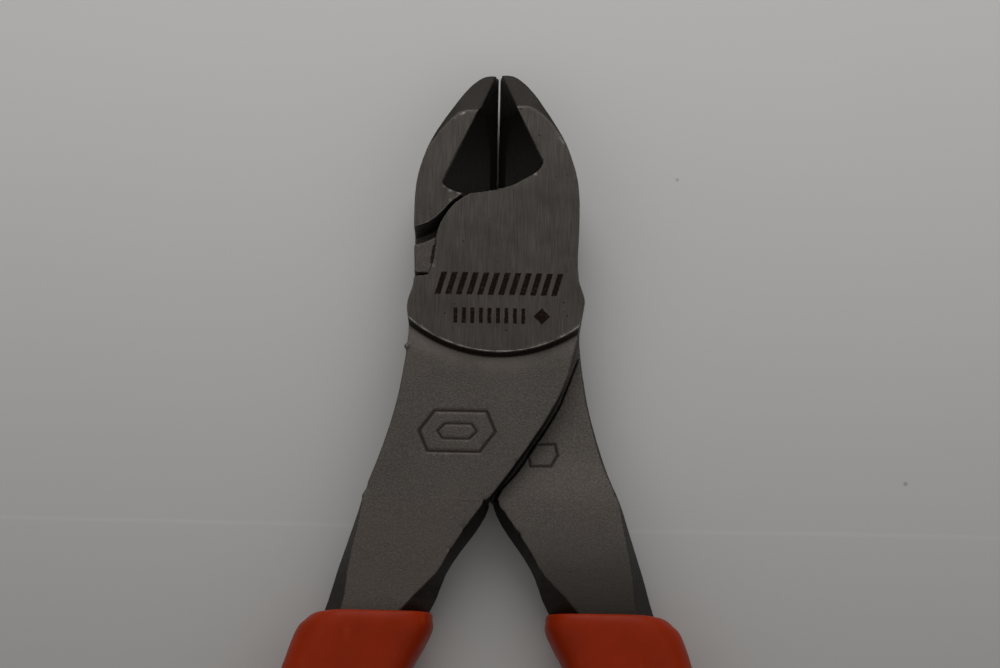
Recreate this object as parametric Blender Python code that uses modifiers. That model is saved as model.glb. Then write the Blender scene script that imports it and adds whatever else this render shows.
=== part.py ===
"""Diagonal cutting pliers: two identical forgings in a lap joint, a pivot rivet and two vinyl grips.

Frame: the origin is where the pivot's axis meets the plane that the pliers lie on. +Z goes up through
the joint, +Y runs to the jaws' tip, and +X is to the right. The pose is closed.
"""

import math

import bmesh
import bpy
from mathutils import Vector

MM = 0.001  # every length below is in millimetres

# Driving dimensions
THICKNESS = 10.3  # head, from back face to front face
MIDDLE = THICKNESS / 2
LAP_GAP = 0.2  # between the two cheeks
EDGE_GAP = 0.2  # between the closed cutting edges
EDGE_LAND = 0.12  # flat left on each cutting edge
PLATE_RADIUS = 15.5  # ground boss on the outer face of each cheek
PLATE_CENTRE_X = 0.35
PLATE_CENTRE_Y = 4.64
STEP_DEPTH = 1.0  # drop from the boss to the arm
STEP_RUN = 0.5  # how far that step slopes out
STEP_START_Y = -3.0  # the step is cut below this
ARM_DROP = 2.0  # drop from the boss to the arm at the grip's mouth
MOUTH_Y = -40.0
THROAT_Y = 8.1
SHOULDER_RADIUS = 8.5  # round wall of the jaw that clears the other half's cheek
BEVEL_SLOPE = 2.1  # cutting bevel, rise over run
TIP_SLOPE = 0.72  # fall of the ground facets at the tip
TAB_RECESS = 0.35
SLOT_DEPTH = 1.6
RIVET_RADIUS = 3.0
RIVET_HEAD_RADIUS = 4.5
RIVET_HEAD_DEPTH = 1.5
RUNNING_GAP = 0.08  # round the rivet
RIVET_CHAMFER = 0.3
BLIND_COVER = 1.2  # from the front face down to the rivet's buried end
BORE_END_GAP = 0.2  # between that end and the bottom of its bore
TANG_GAP = 0.3  # between a tang and its grip
ARM_SINK = 0.02  # keeps the arm's face off the cheek's, which it meets in a shallow step

# Fineness of the meshes
ROUND_STEPS = 64
CURVE_STEPS = 5  # segments between two points of an outline
WELD = 0.002  # joins an outline's caps to its sides
AXIS_WELD = 0.001  # joins a turned profile's ends where they meet the axis
SLIVER = 0.004  # edges shorter than this are closed up after the cuts
CREASE = math.radians(40)  # edges sharper than this stay sharp on the grips

# How far cutters run past what they cut
BEYOND = 4.0
BESIDE = 25.0  # to either side of the axis
ABOVE_TIP_Y = 30.0
BELOW_CHEEK_Y = -32.0

# Outline of one half, seen from the front. A third value marks a corner; the rest are smooth.
CORNER = "corner"
HALF_OUTLINE = [
    (0.1, 22.9, CORNER),
    (1.6, 22.8),
    (2.75, 21.9),
    (3.95, 20.3),
    (5.3, 18.05),
    (6.5, 16.1),
    (7.65, 14.05),
    (8.5, 11.9),
    (9.12, 9.7),
    (9.4, 7.5),
    (9.45, 4.5),
    (9.45, -2.3),
    (9.8, -3.5),
    (10.15, -4.7),
    (10.05, -5.7),
    (9.65, -7.6),
    (8.95, -10.8),
    (8.18, -13.7),
    (6.96, -16.5),
    (4.43, -20.7),
    (1.1, -25.45),
    (-0.45, -27.5, CORNER),
    (-14.5, -27.3, CORNER),
    (-12.6, -22.3),
    (-11.1, -17.3),
    (-10.35, -13.5),
    (-9.9, -10.2),
    (-9.75, -7.6),
    (-9.98, -6.1),
    (-9.92, -5.1),
    (-9.35, -3.1),
    (-9.35, 1.45, CORNER),
    (-8.0, 1.9),
    (-6.85, 2.5, CORNER),
    (-6.5, 3.8),
    (-5.7, 5.3),
    (-4.7, 6.5),
    (-3.05, 7.6, CORNER),
    (-1.5, 7.8),
    (EDGE_GAP / 2, THROAT_Y, CORNER),
]

# Shoulder under the jaw: its round wall, then from where that ends out past the flank.
SHOULDER_START_X = -0.5
SHOULDER_ARC = [math.radians(angle) for angle in (84, 78, 72, 66)]
SHOULDER = [(3.83, 7.57), (5.3, 6.5), (6.4, 5.2), (7.6, 4.2), (8.4, 3.82), (9.2, 3.57)]
SHOULDER_END = (12.0, 3.3)
POCKET_CORNER_X = 14.0

# The tapering recess beside each cutting edge: where it meets the outer face, then its rounded foot.
FRONT_FAN_LINE = [(22.6, 0.25), (17.95, 2.0), (11.8, 5.1)]
FRONT_FAN_FOOT = [
    (-2.0, 7.9),
    (-0.16, 8.12),
    (1.54, 8.57),
    (3.0, 9.37),
    (4.4, 10.25),
    (5.05, 11.05),
    (5.3, 12.2),
]
BACK_FAN_LINE = [(22.6, 0.55), (18.0, 2.1), (9.06, 6.4)]
BACK_FAN_FOOT = [(0.0, 6.6), (4.04, 7.57), (5.2, 7.95), (6.1, 8.5), (6.5, 9.2), (6.6, 10.5)]
BEVEL_LINE = [(24.0, 2.6), (18.2, 2.2), (16.6, 1.5), (15.0, 1.05), (13.4, 0.8), (7.0, 0.72)]
FAN_START, FAN_STEP, FAN_COUNT = 6.5, 0.6, 31  # sections of the recess, up from below its foot
FAN_SUBSTEPS = 6  # points up the slope, which keep the twisted surface even
FAN_OVERCUT = 0.6  # how far the slope runs on above the face
FAN_FLARE = 0.6  # how far the recess's side leans out above its foot
BEVEL_SHARE = 0.98  # most of the recess's width that the cutting bevel may take
TIP_FACET_Y = 17.9  # where the tip facets start beside the recess
FACET_REACH = 14.0  # how far out from its line a tip facet's cutter runs
TIP_LINE_STEPS = 3  # segments between two points of that line

# Where the ground tip facets leave the outer faces.
FRONT_TIP_LINE = [
    (-1.0, 17.95),
    (2.2, 17.95),
    (3.5, 17.9),
    (4.6, 17.3),
    (5.8, 16.2),
    (7.0, 14.7),
    (8.6, 12.4),
]
BACK_TIP_LINE = [
    (-1.0, 17.4),
    (2.7, 17.4),
    (4.0, 17.3),
    (4.9, 16.8),
    (6.2, 15.4),
    (7.4, 13.7),
    (9.0, 11.5),
]

# The as-forged stop tab beside the ground boss, and the relief slot below it.
TAB_OUTLINE = [
    (-12, 4, CORNER),
    (-6.75, 4, CORNER),
    (-6.9, 1.3, CORNER),
    (-7.15, -0.6, CORNER),
    (-7.6, -2.0, CORNER),
    (-12, -2.35, CORNER),
]
SLOT_OUTLINE = [(-12, -1.6, CORNER), (-7.7, -1.8, CORNER), (-7.7, -2.05, CORNER), (-12, -2.6, CORNER)]

# The arm and tang of one half, at stations down the handle:
# y, parting line outside, flat outside, flat inside, parting line inside, lowest z.
ARM_STATIONS = [
    (-10.5, -9.85, -9.8, -9.75, -9.7, 5.0),
    (-13.7, -10.3, -10.2, -8.6, -8.5, 4.8),
    (-16.7, -10.95, -10.8, -7.4, -7.3, 4.5),
    (-20.7, -12.05, -11.8, -5.0, -4.8, 4.1),
    (-24.0, -13.2, -12.9, -2.9, -2.7, 3.7),
    (-27.0, -14.55, -14.3, -0.7, -0.3, 3.2),
    (-29.8, -15.45, -14.8, -2.35, -1.15, 2.8),
    (-33.3, -16.55, -15.5, -4.6, -3.6, 2.3),
    (-35.7, -17.3, -15.9, -6.0, -5.0, 2.1),
    (-40.0, -18.55, -16.5, -10.0, -6.75, 2.0),
    (-46.0, -20.9, -19.2, -13.2, -11.4, 2.1),
    (-54.0, -23.6, -22.0, -16.6, -15.0, 2.2),
    (-64.0, -25.4, -23.9, -18.7, -17.2, 2.3),
    (-76.0, -26.2, -24.7, -19.7, -18.2, 2.3),
    (-90.0, -25.8, -24.4, -19.6, -18.2, 2.4),
    (-104.0, -24.5, -23.2, -18.6, -17.3, 2.5),
    (-118.0, -22.6, -21.4, -17.2, -16.0, 2.6),
    (-128.0, -20.7, -19.7, -16.1, -15.1, 2.9),
]

ARM_STEPS = 3  # rings between two stations
ARM_ROOT_Y = -26.5  # above this the arm's section hides inside the cheek
ARM_ROOT_TOP = MIDDLE + 1.5

# The left grip at stations down the handle: y, middle x, width, thickness.
GRIP_STATIONS = [
    (-40.0, -12.85, 13.0, 9.6),
    (-40.5, -13.2, 13.8, 10.0),
    (-41.2, -13.65, 14.9, 10.25),
    (-42.2, -14.05, 15.15, 10.3),
    (-44.0, -14.8, 14.9, 10.2),
    (-46.0, -15.65, 14.45, 10.1),
    (-54.0, -18.95, 13.5, 9.9),
    (-64.0, -21.1, 12.9, 9.9),
    (-76.0, -22.2, 12.6, 10.0),
    (-90.0, -22.0, 12.4, 10.0),
    (-104.0, -20.9, 12.2, 9.8),
    (-118.0, -19.3, 11.8, 9.5),
    (-128.0, -17.9, 11.2, 9.2),
    (-133.0, -17.2, 9.8, 8.3),
    (-135.5, -16.9, 7.4, 6.5),
    (-136.6, -16.8, 3.6, 3.4),
]
GRIP_SQUARENESS = 3.2  # exponent of the grip's rounded section
GRIP_SIDES = 28
GRIP_STEPS = 3  # rings between two stations
SOCKET_START_Y = MOUTH_Y + 1.5


# ---------- helpers ----------

def clear_scene():
    for item in list(bpy.data.objects):
        bpy.data.objects.remove(item, do_unlink=True)


def new_collection(name):
    collection = bpy.data.collections.new(name)
    bpy.context.scene.collection.children.link(collection)
    return collection


def add_mesh(name, mesh, collection):
    item = bpy.data.objects.new(name, mesh)
    collection.objects.link(item)
    return item


def as_cutter(item):
    item.hide_render = True
    item.display_type = "WIRE"
    return item


def evaluated_mesh(item, name):
    """The item's mesh in world space, as its modifiers leave it."""
    bpy.context.view_layer.update()
    graph = bpy.context.evaluated_depsgraph_get()
    mesh = bpy.data.meshes.new_from_object(item.evaluated_get(graph))
    mesh.name = name
    mesh.transform(item.matrix_world)
    return mesh


def weld_caps(mesh):
    """Joins the loose caps of a filled curve to its sides."""
    work = bmesh.new()
    work.from_mesh(mesh)
    bmesh.ops.remove_doubles(work, verts=work.verts, dist=WELD * MM)
    bmesh.ops.recalc_face_normals(work, faces=work.faces)
    work.to_mesh(mesh)
    work.free()


def extruded(name, points, low, high, collection):
    """A flat outline, smooth except at its corners, extruded from z = low to z = high."""
    curve = bpy.data.curves.new(name, "CURVE")
    curve.dimensions = "2D"
    curve.fill_mode = "BOTH"
    curve.resolution_u = CURVE_STEPS
    curve.extrude = (high - low) / 2 * MM
    spline = curve.splines.new("BEZIER")
    spline.bezier_points.add(len(points) - 1)
    spline.use_cyclic_u = True
    for target, point in zip(spline.bezier_points, points):
        target.co = (point[0] * MM, point[1] * MM, 0)
        kind = "VECTOR" if point[2:] == (CORNER,) else "AUTO"
        target.handle_left_type = kind
        target.handle_right_type = kind
    guide = bpy.data.objects.new(name + "_outline", curve)
    guide.location = (0, 0, (low + high) / 2 * MM)
    bpy.context.scene.collection.objects.link(guide)
    mesh = evaluated_mesh(guide, name)
    weld_caps(mesh)
    bpy.data.objects.remove(guide)
    return add_mesh(name, mesh, collection)


def lofted(name, rings, collection):
    """A closed solid through rings of equally many points, each ring closed and capped at the ends."""
    work = bmesh.new()
    loops = [[work.verts.new(Vector(point) * MM) for point in ring] for ring in rings]
    work.faces.new(loops[0])
    work.faces.new(reversed(loops[-1]))
    sides = len(rings[0])
    for first, second in zip(loops, loops[1:]):
        for i in range(sides):
            j = (i + 1) % sides
            work.faces.new((first[i], second[i], second[j], first[j]))
    bmesh.ops.triangulate(work, faces=work.faces)  # a twisted quad has no one plane for a Boolean
    bmesh.ops.recalc_face_normals(work, faces=work.faces)
    mesh = bpy.data.meshes.new(name)
    work.to_mesh(mesh)
    work.free()
    return add_mesh(name, mesh, collection)


def turned(name, profile, collection):
    """A profile of (radius, z) points from top to bottom, turned about the Z axis."""
    mesh = bpy.data.meshes.new(name)
    work = bmesh.new()
    points = [work.verts.new((r * MM, 0, z * MM)) for r, z in profile]
    for first, second in zip(points, points[1:]):
        work.edges.new((first, second))
    work.to_mesh(mesh)
    work.free()
    item = add_mesh(name, mesh, collection)
    screw = item.modifiers.new("turn", "SCREW")
    screw.steps = ROUND_STEPS
    screw.render_steps = ROUND_STEPS
    screw.use_merge_vertices = True
    screw.merge_threshold = AXIS_WELD * MM
    screw.use_smooth_shade = False
    return item


def boolean(item, operation, other, solver="EXACT"):
    modifier = item.modifiers.new(other.name, "BOOLEAN")
    modifier.operation = operation
    modifier.solver = solver
    modifier.object = other


def value_at(y, line):
    """The value at y on a list of (y, value) points, straight between them and beyond them."""
    line = sorted(line)
    span = len(line) - 2
    start = max(0, min(span, sum(point[0] <= y for point in line) - 1))
    (y0, v0), (y1, v1) = line[start], line[start + 1]
    return v0 + (v1 - v0) * (y - y0) / (y1 - y0)


def smooth_between(rows, steps):
    """The rows with steps - 1 more between each two, on a Catmull-Rom curve through them."""
    out = []
    for i in range(len(rows) - 1):
        before = rows[max(0, i - 1)]
        after = rows[min(len(rows) - 1, i + 2)]
        for step in range(steps):
            t = step / steps
            row = []
            for a, b, c, d in zip(before, rows[i], rows[i + 1], after):
                square = 2 * a - 5 * b + 4 * c - d
                cube = 3 * (b - c) + d - a
                row.append(b + 0.5 * t * (c - a + t * (square + t * cube)))
            out.append(tuple(row))
    out.append(rows[-1])
    return out


def arm_top(y):
    """Height of the arm's outer face."""
    start = PLATE_CENTRE_Y - PLATE_RADIUS
    share = max(0.0, min(1.0, (start - y) / (start - MOUTH_Y)))
    return THICKNESS - STEP_DEPTH - (ARM_DROP - STEP_DEPTH) * share


def material(name, colour, roughness, metallic):
    made = bpy.data.materials.new(name)
    made.use_nodes = True
    shader = made.node_tree.nodes["Principled BSDF"]
    shader.inputs["Base Color"].default_value = (*colour, 1)
    shader.inputs["Roughness"].default_value = roughness
    shader.inputs["Metallic"].default_value = metallic
    return made


# ---------- cutters for one half ----------

def lap_pocket(cutters):
    """Takes away the inner half of the thickness everywhere below the jaw's shoulder."""
    points = [(-BESIDE, SHOULDER_RADIUS, CORNER), (SHOULDER_START_X, SHOULDER_RADIUS, CORNER)]
    for angle in SHOULDER_ARC:
        points.append((SHOULDER_RADIUS * math.cos(angle), SHOULDER_RADIUS * math.sin(angle)))
    points += SHOULDER
    points += [
        (*SHOULDER_END, CORNER),
        (POCKET_CORNER_X, BELOW_CHEEK_Y, CORNER),
        (-BESIDE, BELOW_CHEEK_Y, CORNER),
    ]
    return as_cutter(extruded("lap_pocket", points, -BEYOND, MIDDLE + LAP_GAP / 2, cutters))


def arm_step(cutters):
    """Lowers the arm's outer face outside the ground boss."""
    rings = []
    high = THICKNESS + BEYOND
    for y in (STEP_START_Y, PLATE_CENTRE_Y - PLATE_RADIUS, BELOW_CHEEK_Y):
        low = arm_top(y)
        rings.append([(-BESIDE, y, low), (BESIDE, y, low), (BESIDE, y, high), (-BESIDE, y, high)])
    slab = as_cutter(lofted("arm_step", rings, cutters))
    slope = STEP_RUN / STEP_DEPTH
    top = THICKNESS + 2 * BEYOND
    low = THICKNESS - 2 * STEP_DEPTH
    profile = [
        (0, top),
        (PLATE_RADIUS - slope * (top - THICKNESS), top),
        (PLATE_RADIUS + slope * (THICKNESS - low), low),
        (0, low),
    ]
    boss = as_cutter(turned("boss", profile, cutters))
    boss.location = (PLATE_CENTRE_X * MM, PLATE_CENTRE_Y * MM, 0)
    boolean(slab, "DIFFERENCE", boss)
    return slab


def fan_section(y, line):
    """The (x, z) points across the recess at y, out from the cutting edge, with z above the middle."""
    face_z = MIDDLE - TIP_SLOPE * max(0.0, y - TIP_FACET_Y)
    fan_x = max(EDGE_LAND, value_at(y, line))
    bevel_x = min(value_at(y, BEVEL_LINE), BEVEL_SHARE * fan_x)
    bevel_z = max(EDGE_LAND / 2 + BEVEL_SLOPE * bevel_x, face_z * bevel_x / fan_x)
    rise = (face_z - bevel_z) / (fan_x - bevel_x)
    top_z = face_z + FAN_OVERCUT
    points = [(0, EDGE_LAND / 2)]
    for i in range(FAN_SUBSTEPS + 1):
        z = bevel_z + (top_z - bevel_z) * i / FAN_SUBSTEPS
        points.append((bevel_x + (z - bevel_z) / rise, z))
    return points


def fan_recess(name, line, foot, front, cutters):
    """The tapering recess and the cutting bevel on one face of the jaw."""
    sign = 1 if front else -1
    rings = []
    for i in range(FAN_COUNT):
        y = FAN_START + i * FAN_STEP
        slope = [(EDGE_GAP / 2 + x, z) for x, z in fan_section(y, line)]
        top = MIDDLE + BEYOND
        ring = [(-BEYOND, EDGE_LAND / 2), *slope, (slope[-1][0], top), (-BEYOND, top)]
        rings.append([(x, y, MIDDLE + sign * z) for x, z in ring])
    wedge = as_cutter(lofted(name, rings, cutters))
    start, end = foot[0], foot[-1]
    points = [(start[0], ABOVE_TIP_Y, CORNER), (*start, CORNER)]
    points += foot[1:-1]
    points += [(*end, CORNER), (end[0] + FAN_FLARE, ABOVE_TIP_Y, CORNER)]
    plan = as_cutter(extruded(name + "_plan", points, -BEYOND, THICKNESS + BEYOND, cutters))
    boolean(wedge, "INTERSECT", plan, "MANIFOLD")
    return wedge


def tip_facet(name, line, front, cutters):
    """The ground facet that thins the jaw towards its tip."""
    sign = 1 if front else -1
    section = [
        (0, MIDDLE),
        (FACET_REACH, MIDDLE - TIP_SLOPE * FACET_REACH),
        (FACET_REACH, MIDDLE + BEYOND),
        (0, MIDDLE + BEYOND),
    ]
    rings = []
    curve = smooth_between(line, TIP_LINE_STEPS)
    for i, (x, y) in enumerate(curve):
        before = Vector(curve[max(0, i - 1)])
        after = Vector(curve[min(len(curve) - 1, i + 1)])
        along = (after - before).normalized()
        out = Vector((-along.y, along.x))
        rings.append([(x + out.x * run, y + out.y * run, MIDDLE + sign * z) for run, z in section])
    return as_cutter(lofted(name, rings, cutters))


def tab_recess(cutters):
    """Leaves the stop tab beside the ground boss a little lower, as forged."""
    return as_cutter(extruded("tab_recess", TAB_OUTLINE, THICKNESS - TAB_RECESS, THICKNESS + BEYOND, cutters))


def tab_slot(cutters):
    """The narrow relief slot below the stop tab."""
    return as_cutter(extruded("tab_slot", SLOT_OUTLINE, THICKNESS - SLOT_DEPTH, THICKNESS + BEYOND, cutters))


# ---------- sub-parts ----------

def arm_rings(spread):
    """Six-sided sections down the arm and tang, each spread outwards by the same distance."""
    rings = []
    for y, outer, outer_flat, inner_flat, inner, low in smooth_between(ARM_STATIONS, ARM_STEPS):
        high = THICKNESS - low if y < MOUTH_Y else arm_top(y) - ARM_SINK
        if y > ARM_ROOT_Y:
            high = ARM_ROOT_TOP
        low -= spread
        high += spread
        rings.append([
            (outer - spread, y, MIDDLE),
            (outer_flat - spread / 2, y, high),
            (inner_flat + spread / 2, y, high),
            (inner + spread, y, MIDDLE),
            (inner_flat + spread / 2, y, low),
            (outer_flat - spread / 2, y, low),
        ])
    return rings


def half_blank(cutters):
    """The forging that both halves are made from, as the front half lies, without its bore."""
    blank = extruded("half_blank", HALF_OUTLINE, 0, THICKNESS, cutters)
    cuts = [
        lap_pocket(cutters),
        arm_step(cutters),
        fan_recess("front_fan", FRONT_FAN_LINE, FRONT_FAN_FOOT, True, cutters),
        fan_recess("back_fan", BACK_FAN_LINE, BACK_FAN_FOOT, False, cutters),
        tip_facet("front_facet", FRONT_TIP_LINE, True, cutters),
        tip_facet("back_facet", BACK_TIP_LINE, False, cutters),
        tab_recess(cutters),
        tab_slot(cutters),
    ]
    for cut in cuts:
        boolean(blank, "DIFFERENCE", cut, "MANIFOLD")  # EXACT leaves open edges along the thin cutting edge
    boolean(blank, "UNION", as_cutter(lofted("arm", arm_rings(0), cutters)), "MANIFOLD")
    mesh = evaluated_mesh(blank, "half")
    bpy.data.objects.remove(blank)
    work = bmesh.new()
    work.from_mesh(mesh)
    bmesh.ops.triangulate(work, faces=work.faces)
    bmesh.ops.dissolve_degenerate(work, edges=work.edges, dist=SLIVER * MM)
    work.to_mesh(mesh)
    work.free()
    return mesh


def front_half(mesh, steel, parts, cutters):
    """Right jaw, front cheek and left handle, with a blind bore for the rivet's end."""
    item = add_mesh("front_half", mesh.copy(), parts)
    item.data.materials.append(steel)
    bore_top = THICKNESS - BLIND_COVER + BORE_END_GAP
    profile = [(0, bore_top), (RIVET_RADIUS, bore_top), (RIVET_RADIUS, -BEYOND), (0, -BEYOND)]
    boolean(item, "DIFFERENCE", as_cutter(turned("blind_bore", profile, cutters)), "MANIFOLD")


def rear_half(mesh, steel, parts, cutters):
    """Left jaw, rear cheek and right handle: the same forging turned over, with a countersunk bore."""
    item = add_mesh("rear_half", mesh.copy(), parts)
    item.data.materials.append(steel)
    item.location = (0, 0, THICKNESS * MM)
    item.rotation_euler = (0, math.pi, 0)
    head = RIVET_HEAD_RADIUS + RUNNING_GAP
    profile = [
        (0, THICKNESS + BEYOND),
        (RIVET_RADIUS, THICKNESS + BEYOND),
        (RIVET_RADIUS, RIVET_HEAD_DEPTH),
        (head, 0),
        (head, -BEYOND),
        (0, -BEYOND),
    ]
    boolean(item, "DIFFERENCE", as_cutter(turned("countersunk_bore", profile, cutters)), "MANIFOLD")


def pivot_rivet(steel, parts):
    """Countersunk in the rear cheek, with its end buried in the front cheek."""
    radius = RIVET_RADIUS - RUNNING_GAP
    end = THICKNESS - BLIND_COVER
    profile = [
        (0, end),
        (radius - RIVET_CHAMFER, end),
        (radius, end - RIVET_CHAMFER),
        (radius, RIVET_HEAD_DEPTH),
        (RIVET_HEAD_RADIUS, 0),
        (0, 0),
    ]
    item = turned("pivot_rivet", profile, parts)
    item.data.materials.append(steel)


def grip_rings():
    """Rounded sections down the left grip."""
    rings = []
    for y, middle, width, thickness in smooth_between(GRIP_STATIONS, GRIP_STEPS):
        ring = []
        for i in range(GRIP_SIDES):
            angle = 2 * math.pi * i / GRIP_SIDES
            across = math.copysign(abs(math.cos(angle)) ** (2 / GRIP_SQUARENESS), math.cos(angle))
            up = math.copysign(abs(math.sin(angle)) ** (2 / GRIP_SQUARENESS), math.sin(angle))
            ring.append((middle + across * width / 2, y, MIDDLE + up * thickness / 2))
        rings.append(ring)
    return rings


def grip(name, vinyl, mirrored, parts, cutters):
    """A blind sleeve over one tang."""
    item = lofted(name, grip_rings(), parts)
    rings = [ring for ring in arm_rings(TANG_GAP) if ring[0][1] < SOCKET_START_Y]
    end = [(x, y - TANG_GAP, z) for x, y, z in rings[-1]]
    boolean(item, "DIFFERENCE", as_cutter(lofted(name + "_socket", rings + [end], cutters)))
    mesh = evaluated_mesh(item, name)
    bpy.data.objects.remove(item)
    item = add_mesh(name, mesh, parts)
    item.data.materials.append(vinyl)
    if mirrored:
        item.location = (0, 0, THICKNESS * MM)
        item.rotation_euler = (0, math.pi, 0)
    item.data.shade_smooth()
    item.data.set_sharp_from_angle(angle=CREASE)


def main():
    clear_scene()
    parts = new_collection("diagonal_cutting_pliers")
    cutters = new_collection("cutters")
    steel = material("steel", (0.17, 0.155, 0.145), 0.42, 1.0)
    rivet_steel = material("rivet_steel", (0.22, 0.20, 0.19), 0.38, 1.0)
    vinyl = material("vinyl", (0.55, 0.055, 0.012), 0.45, 0.0)
    mesh = half_blank(cutters)
    front_half(mesh, steel, parts, cutters)
    rear_half(mesh, steel, parts, cutters)
    pivot_rivet(rivet_steel, parts)
    grip("left_grip", vinyl, False, parts, cutters)
    grip("right_grip", vinyl, True, parts, cutters)


main()
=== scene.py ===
"""Diagonal cutting pliers: the finished surfaces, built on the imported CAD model.

Points and sizes are in millimetres until they reach a mesh, a light or the camera.
"""

import itertools
import math

import bmesh
import bpy
import numpy as np
from mathutils import Matrix, Vector


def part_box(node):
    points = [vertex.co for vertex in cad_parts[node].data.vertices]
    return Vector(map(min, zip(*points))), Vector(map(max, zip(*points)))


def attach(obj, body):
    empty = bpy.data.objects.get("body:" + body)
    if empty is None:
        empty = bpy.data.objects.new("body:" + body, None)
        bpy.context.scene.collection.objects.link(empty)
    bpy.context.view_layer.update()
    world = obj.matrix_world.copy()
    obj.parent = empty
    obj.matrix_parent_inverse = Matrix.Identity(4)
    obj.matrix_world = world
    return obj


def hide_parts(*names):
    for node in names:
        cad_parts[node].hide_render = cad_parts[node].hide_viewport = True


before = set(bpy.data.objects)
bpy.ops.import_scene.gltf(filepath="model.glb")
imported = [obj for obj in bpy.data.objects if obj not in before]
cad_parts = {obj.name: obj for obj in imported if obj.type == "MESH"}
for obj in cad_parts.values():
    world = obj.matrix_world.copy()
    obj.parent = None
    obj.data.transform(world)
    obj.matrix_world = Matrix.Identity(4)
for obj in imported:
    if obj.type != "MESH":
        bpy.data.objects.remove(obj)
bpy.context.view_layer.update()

MM = 0.001
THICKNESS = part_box("front_half")[1].z / MM
MIDDLE = THICKNESS / 2

# ---------- sizes ----------

VOXEL = 0.1
MOST_TRIANGLES = 160000  # in one half, before its long triangles are cut up
LONGEST_EDGE, SPLIT_PASSES = 0.5, 5
CUT_Y = -47.0  # inside the grips: below this a half keeps its plain CAD tang
TANG_OVERLAP = 1.5
SHARP = math.radians(24)  # a steeper bend between two faces stays an edge
RIVET_SHARP = math.radians(35)
WELD = 0.001  # vertices nearer than this are one
SOFTEN_FACTOR, SOFTEN_PASSES = 0.5, 2
FLAT_WEIGHT = 60  # above the neutral 50, large faces have more say in a normal

# These scatter a lattice corner's place and a seed into a random-looking number.
HASH_AXES = np.array([73856093, 19349663, 83492791])
HASH_SEED = 7919
HASH_MIX = 1274126177

BOSS_X, BOSS_Y, BOSS_RADIUS = 0.35, 4.64, 15.5  # ground boss on a half's outer face
GROUND_DEPTH = 0.06  # a face this near the outermost plane is a ground one
FILLET_RISE, FILLET_RUN = 0.12, 0.7  # at the foot of the boss's step
CREASE_WIDTH, CREASE_DEPTH = 0.3, 0.22  # between the stop tab and the boss
LEDGE_Y, LEDGE_RISE, LEDGE_FADE = -27.4, 0.02, 8.0  # a faint ledge across the arm's outer face
ARM_Y = -3.0  # the boss's step and the arm lie below this
FACING = 0.7  # least share of a normal along the thickness, on a face that looks outward

# Surface relief: height, cell size, seed.
GRAIN = [(0.008, 0.34, 1), (0.005, 0.19, 2)]
WAVES = [(0.016, 4.5, 3), (0.006, 1.6, 4)]
SKIN = [(0.035, 6.0, 11), (0.012, 1.9, 12)]

# Where a half is worn or ground, and where its painted shade and painted highlights lie. A pair is where
# a smooth step starts and ends.
EDGE_PROUD = (0.012, 0.045)  # how far a worn edge stands proud of its neighbours
STEEP_NORMAL = (0.45, 0.85)  # share of a normal along the thickness, from steep to flat
STEEP_DOWN = (8.0, 20.0)  # down the tool from the pivot
RIM_HIGHLIGHT_SHARE = 0.8  # how bright the painted highlight on the boss's rim is beside a worn edge
RIM_IN, RIM_WIDTH = 0.06, (0.05, 0.15)  # where the rim's painted highlight lies, inside the boss's edge
FILLET_HIGHLIGHT_AT, FILLET_HIGHLIGHT_REACH = 0.8, 1.2  # the painted highlight on the step's fillet, outside the boss
JAW_Y = (7.4, 8.0)  # up the tool from the pivot, where the jaws begin
STEP_FOOT_STARTS, STEP_FOOT_ENDS = (0.0, 0.12), (0.42, 0.62)  # painted shade: the dark band at the foot of the step, outside the boss
TAB_X, TAB_LOW_Y, TAB_HIGH_Y = -6.9, -2.3, 2.6  # the front half's stop tab
TAB_HIGHEST, TAB_LOWEST, TAB_SHADE = 0.2, 0.6, 0.22  # depths below the face, and how dark the painted shade on the tab is

GRIP_SIDES = 112
GRIP_SQUARENESS = 3.2
GRIP_RING_GAP = 0.55
LIP_DROOP = 0.3
RIVET_HEAD_RADIUS = 4.5
RIVET_STEPS = 144

# The left grip's outside, down the handle: y, middle x, width, thickness.
GRIP_STATIONS = [
    (-40.75, -13.45, 14.2, 10.1),
    (-41.3, -13.7, 14.9, 10.25),
    (-42.2, -14.05, 15.15, 10.3),
    (-44.0, -14.8, 14.9, 10.2),
    (-46.0, -15.65, 14.45, 10.1),
    (-54.0, -18.95, 13.5, 9.9),
    (-64.0, -21.1, 12.9, 9.9),
    (-76.0, -22.2, 12.6, 10.0),
    (-90.0, -22.0, 12.4, 10.0),
    (-104.0, -20.9, 12.2, 9.8),
    (-118.0, -19.3, 11.8, 9.5),
    (-128.0, -17.9, 11.2, 9.2),
    (-133.0, -17.2, 9.8, 8.3),
    (-135.5, -16.9, 7.4, 6.5),
    (-136.4, -16.8, 4.4, 4.0),
    (-136.6, -16.8, 1.2, 1.1),
]
# The lip, from the steel outwards, before the first station.
GRIP_LIP = [
    (-43.5, -13.3, 9.0, 4.6),
    (-41.2, -12.9, 10.6, 5.6),
    (-40.35, -12.75, 11.7, 7.6),
    (-40.05, -12.8, 12.5, 8.6),
    (-40.05, -13.0, 13.1, 9.3),
    (-40.3, -13.2, 13.7, 9.8),
]

# Camera
LENS = 84.0
SENSOR = 36.0
TILT = math.radians(12.0)
ROLL = math.radians(1.1)
CAMERA_AT = (0.613, -63.527, 267.717)
CLIP_START = 0.01  # metres

# Light, in metres and watts
SKY = [(0.0, 0.05), (0.35, 0.16), (0.6, 0.50), (0.8, 0.68), (0.93, 0.42), (1.0, 0.34)]
SKY_TINT = (1.0, 0.985, 0.96)
SKY_STRENGTH = 0.68
KEY_AT = (0.0, 0.26, 0.2)
KEY_TARGET = (0, -0.01, 0)
KEY_SIZE = 0.3
KEY_POWER = 0.42
KEY_COLOUR = (1.0, 0.99, 0.975)
FLOOR_HALF = 1.5
FLOOR_DROP = 0.01  # millimetres, so that the floor and the part never share a plane

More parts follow.
